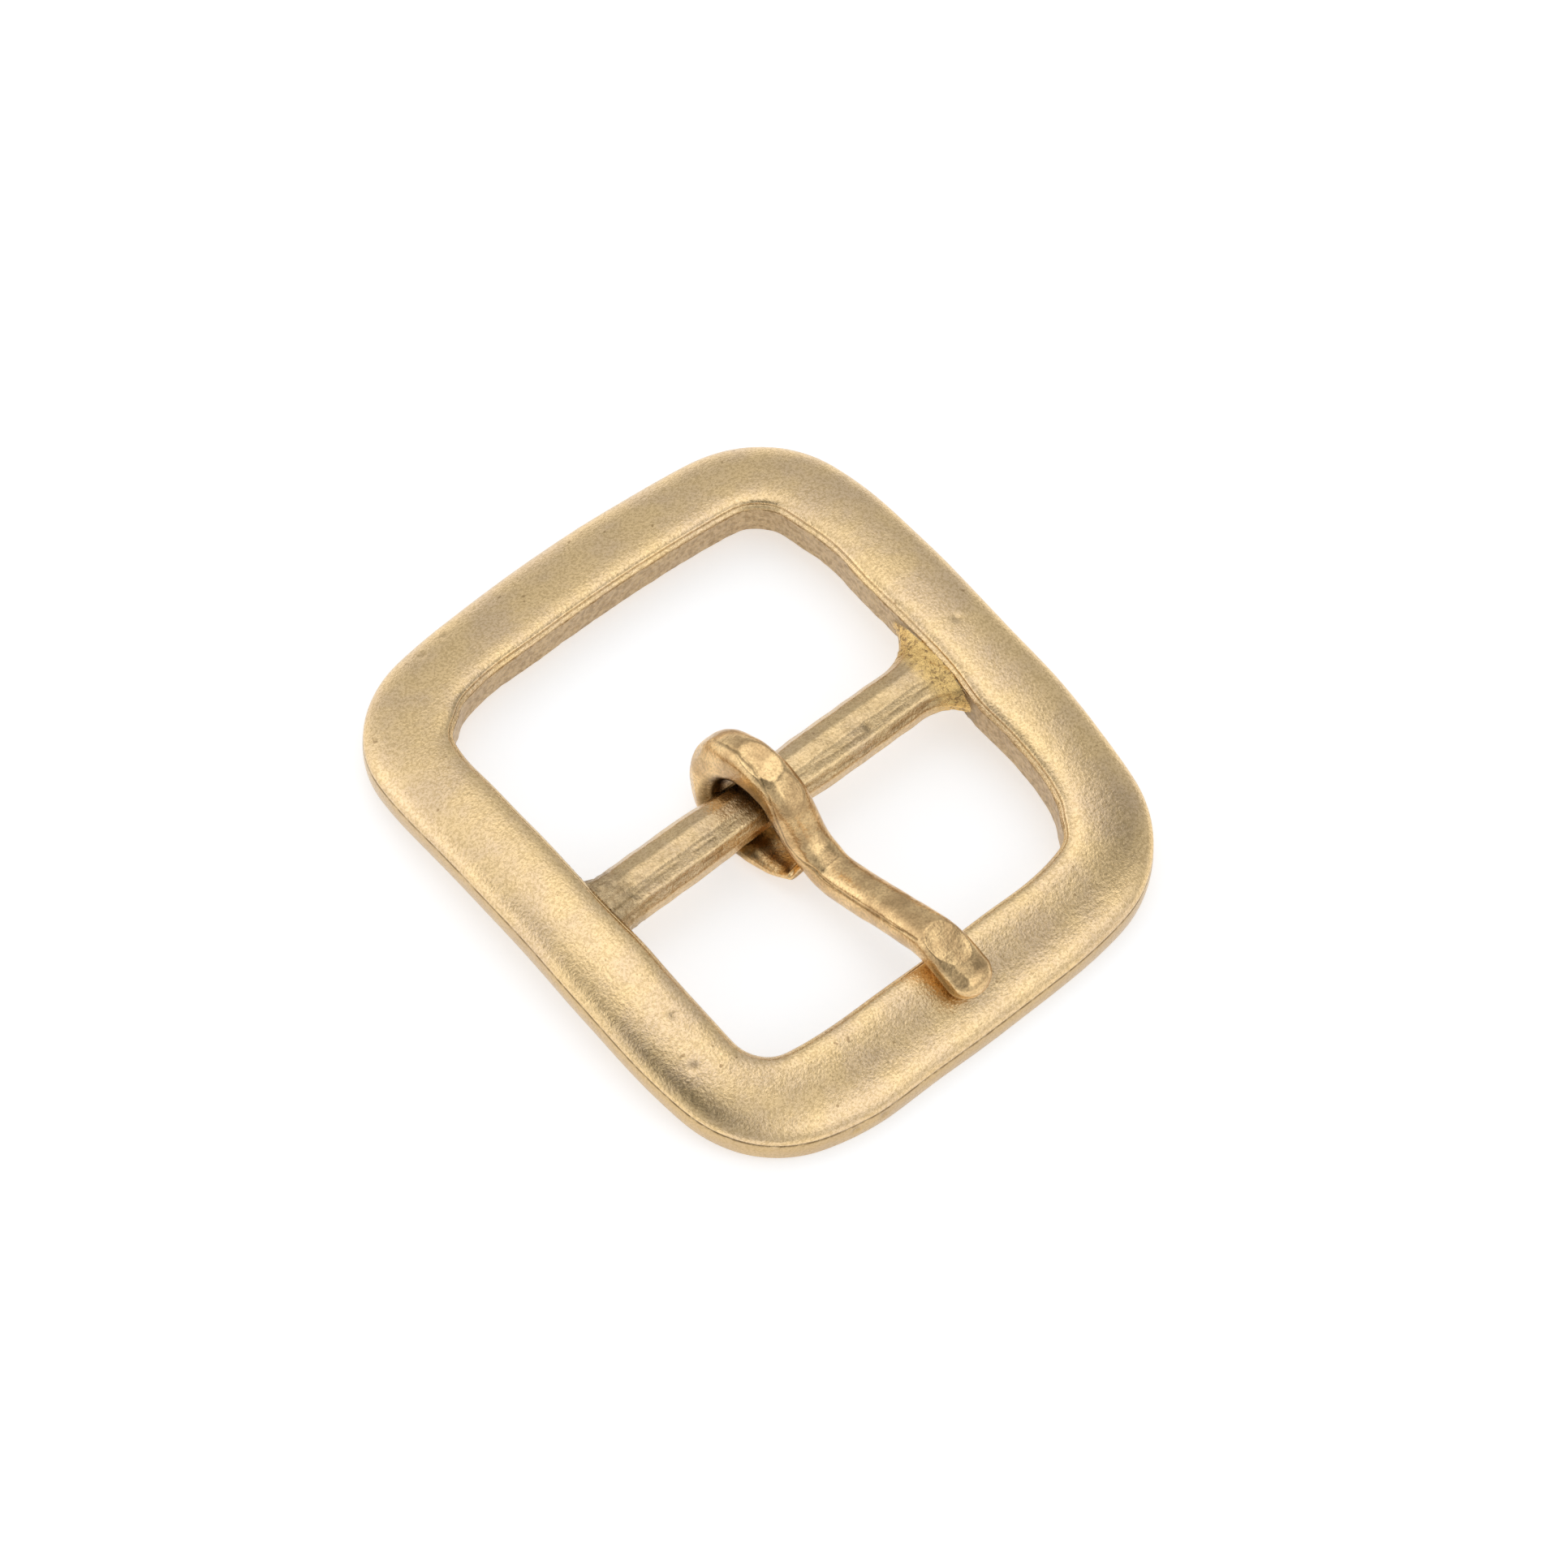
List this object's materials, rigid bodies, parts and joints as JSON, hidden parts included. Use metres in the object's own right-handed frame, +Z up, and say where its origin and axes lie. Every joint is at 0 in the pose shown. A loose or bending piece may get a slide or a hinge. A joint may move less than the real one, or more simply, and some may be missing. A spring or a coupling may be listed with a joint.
{
  "type": "centre-bar belt buckle",
  "caption": "Rounded rectangular belt buckle in solid cast brass: a centre bar holds the strap's fold and a loose prong that swings over it and rests on the tip band.",
  "frame": {"origin": "middle of the buckle, on the flat surface that its end bands' undersides rest on", "axes": "+X along the centre bar; +Y away from the prong's tip, towards the band the strap's fold lies under; +Z up, away from the wearer"},
  "size_m": [0.0558, 0.0644, 0.0129],
  "materials": {
    "cast_brass": "cast, tumbled to a satin with a fine grain",
    "worked_brass": "cast and hand-worked, smoother and browner, with small hammered flats"
  },
  "bodies": {
    "frame": {"buckle_frame": "cast_brass"},
    "prong": {"prong": "worked_brass"}
  },
  "joints": [
    {"name": "prong_swing", "type": "hinge", "parent": "frame", "child": "prong", "pos_m": [0, -0.0019, 0.00508], "axis": [-1, 0, 0], "range_deg": [0, 168]}
  ]
}
